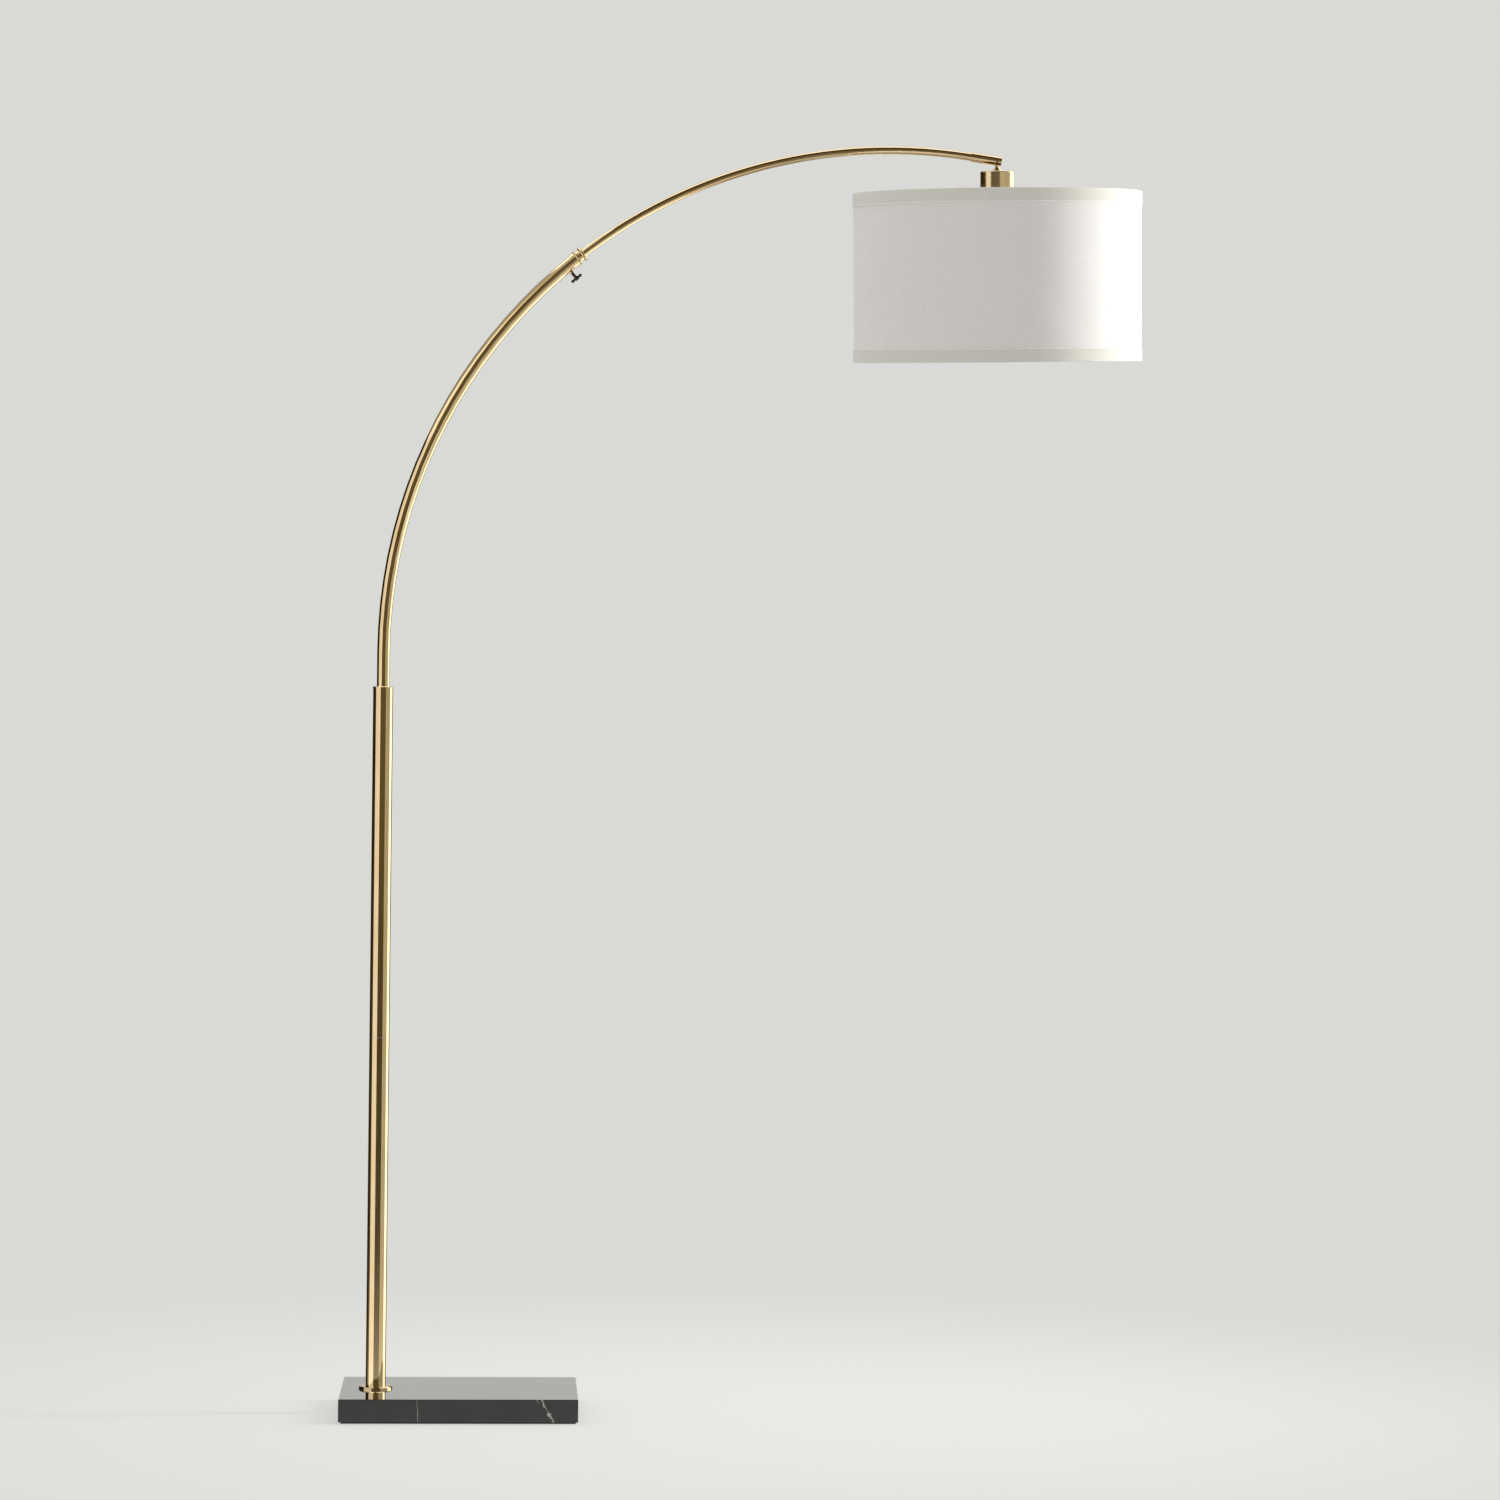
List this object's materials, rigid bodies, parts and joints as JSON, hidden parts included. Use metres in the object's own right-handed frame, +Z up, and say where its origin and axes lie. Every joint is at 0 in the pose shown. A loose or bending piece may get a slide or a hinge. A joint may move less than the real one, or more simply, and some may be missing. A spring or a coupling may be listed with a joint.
{
  "type": "arc floor lamp",
  "caption": "Floor lamp: a stone slab, a round pole, a telescoping arc with a thumb-screw clamp, and a drum shade on a swivel at its end.",
  "frame": {"origin": "on the floor plane, on the pole's axis", "axes": "+Z up along the pole, +X from the pole towards the shade, +Y away from the viewer"},
  "size_m": [1.2636, 0.4889, 2.0223],
  "materials": {
    "brass": "satin brushed",
    "brass_turned": "polished",
    "bronze_dark": "dark bronze plated",
    "steel_zinc": "zinc plated",
    "stone_black": "polished, white veins",
    "felt_black": "pressed felt",
    "rubber_black": "matt",
    "nylon_white": "natural",
    "flex_clear": "clear gold insulation",
    "phenolic_black": "moulded",
    "porcelain": "unglazed",
    "wire_white": "white powder coat",
    "liner_white": "styrene sheet",
    "shade_cloth": "plain-woven linen look",
    "trim_cloth": "folded tape",
    "bulb_metal": "plain",
    "bulb_white": "satin",
    "bulb_opal": "opal"
  },
  "bodies": {
    "stand": {"base_felt": "felt_black", "base_slab": "stone_black", "load_plate": "steel_zinc", "lock_washer": "steel_zinc", "base_nut": "steel_zinc", "base_pipe": "steel_zinc", "foot_plug": "steel_zinc", "base_ring": "brass", "cord_grommet": "rubber_black", "lower_pole": "brass", "pole_coupler": "steel_zinc", "upper_pole": "brass", "pole_top_cap": "brass", "arc_root_bush": "steel_zinc", "root_set_screw": "steel_zinc", "lower_arc": "brass", "collar_bush": "nylon_white", "clamp_collar": "brass_turned", "screw_boss": "brass_turned", "pole_lead": "flex_clear", "slack_lead": "flex_clear"},
    "pad": {"pressure_pad": "nylon_white"},
    "clamp_screw": {"thumb_screw": "bronze_dark", "t_bar": "bronze_dark", "bar_end_balls": "bronze_dark"},
    "arm": {"slider_plug": "nylon_white", "slider_rivets": "steel_zinc", "upper_arc": "brass", "swivel_spigot": "brass", "arm_lead": "flex_clear"},
    "swivel": {"swivel_housing": "brass", "housing_end_plug": "brass", "swivel_set_screw": "steel_zinc", "pivot_screws": "brass_turned"},
    "head": {"ball_stem": "brass_turned", "socket_cup": "brass", "tooth_washer": "steel_zinc", "stem_nut": "steel_zinc", "lamp_holder": "phenolic_black", "contact_block": "porcelain", "terminal_screws": "brass_turned", "centre_contact": "brass_turned", "screw_shell": "brass_turned", "head_lead": "flex_clear", "spider_ring": "wire_white", "shade_ring_nut": "phenolic_black", "spider_arms": "wire_white", "top_wire_ring": "wire_white", "bottom_wire_ring": "wire_white", "shade_liner": "liner_white", "shade_fabric": "shade_cloth", "top_trim": "trim_cloth", "bottom_trim": "trim_cloth", "bulb_base": "bulb_metal", "bulb_tip": "phenolic_black", "bulb_body": "bulb_white", "bulb_globe": "bulb_opal"},
    "switch": {"switch_spindle": "brass_turned", "switch_knob": "phenolic_black"}
  },
  "joints": [
    {"name": "arm_extend", "type": "hinge", "parent": "stand", "child": "arm", "pos_m": [0.812, 0, 1.204], "axis": [0, 1, 0], "range_deg": [-30, 3], "deforming": ["slack_lead"]},
    {"name": "pad_travel", "type": "slide", "parent": "stand", "child": "pad", "axis": [0.6505, 0, -0.7595], "range_m": [0, 0.0008]},
    {"name": "clamp_screw_turn", "type": "hinge", "parent": "pad", "child": "clamp_screw", "pos_m": [0.29952, 0, 1.80233], "axis": [0.6505, 0, -0.7595], "range_deg": [0, 360]},
    {"name": "swivel_turn", "type": "hinge", "parent": "arm", "child": "swivel", "pos_m": [0.92501, 0, 2.0081], "axis": [0.9903, 0, -0.1392], "range_deg": [-90, 90]},
    {"name": "head_tilt", "type": "hinge", "parent": "swivel", "child": "head", "pos_m": [0.97017, 0, 2.00175], "axis": [0.0145, 0.9945, 0.1035], "range_deg": [-30, 12]},
    {"name": "switch_turn", "type": "hinge", "parent": "head", "child": "switch", "pos_m": [1.00546, 0.0052, 1.94681], "axis": [0.9996, -0.0169, 0.0218], "continuous": true}
  ],
  "couplings": [
    {"joint": "clamp_screw_turn", "follows": "pad_travel", "rad_per_m": 7854}
  ]
}
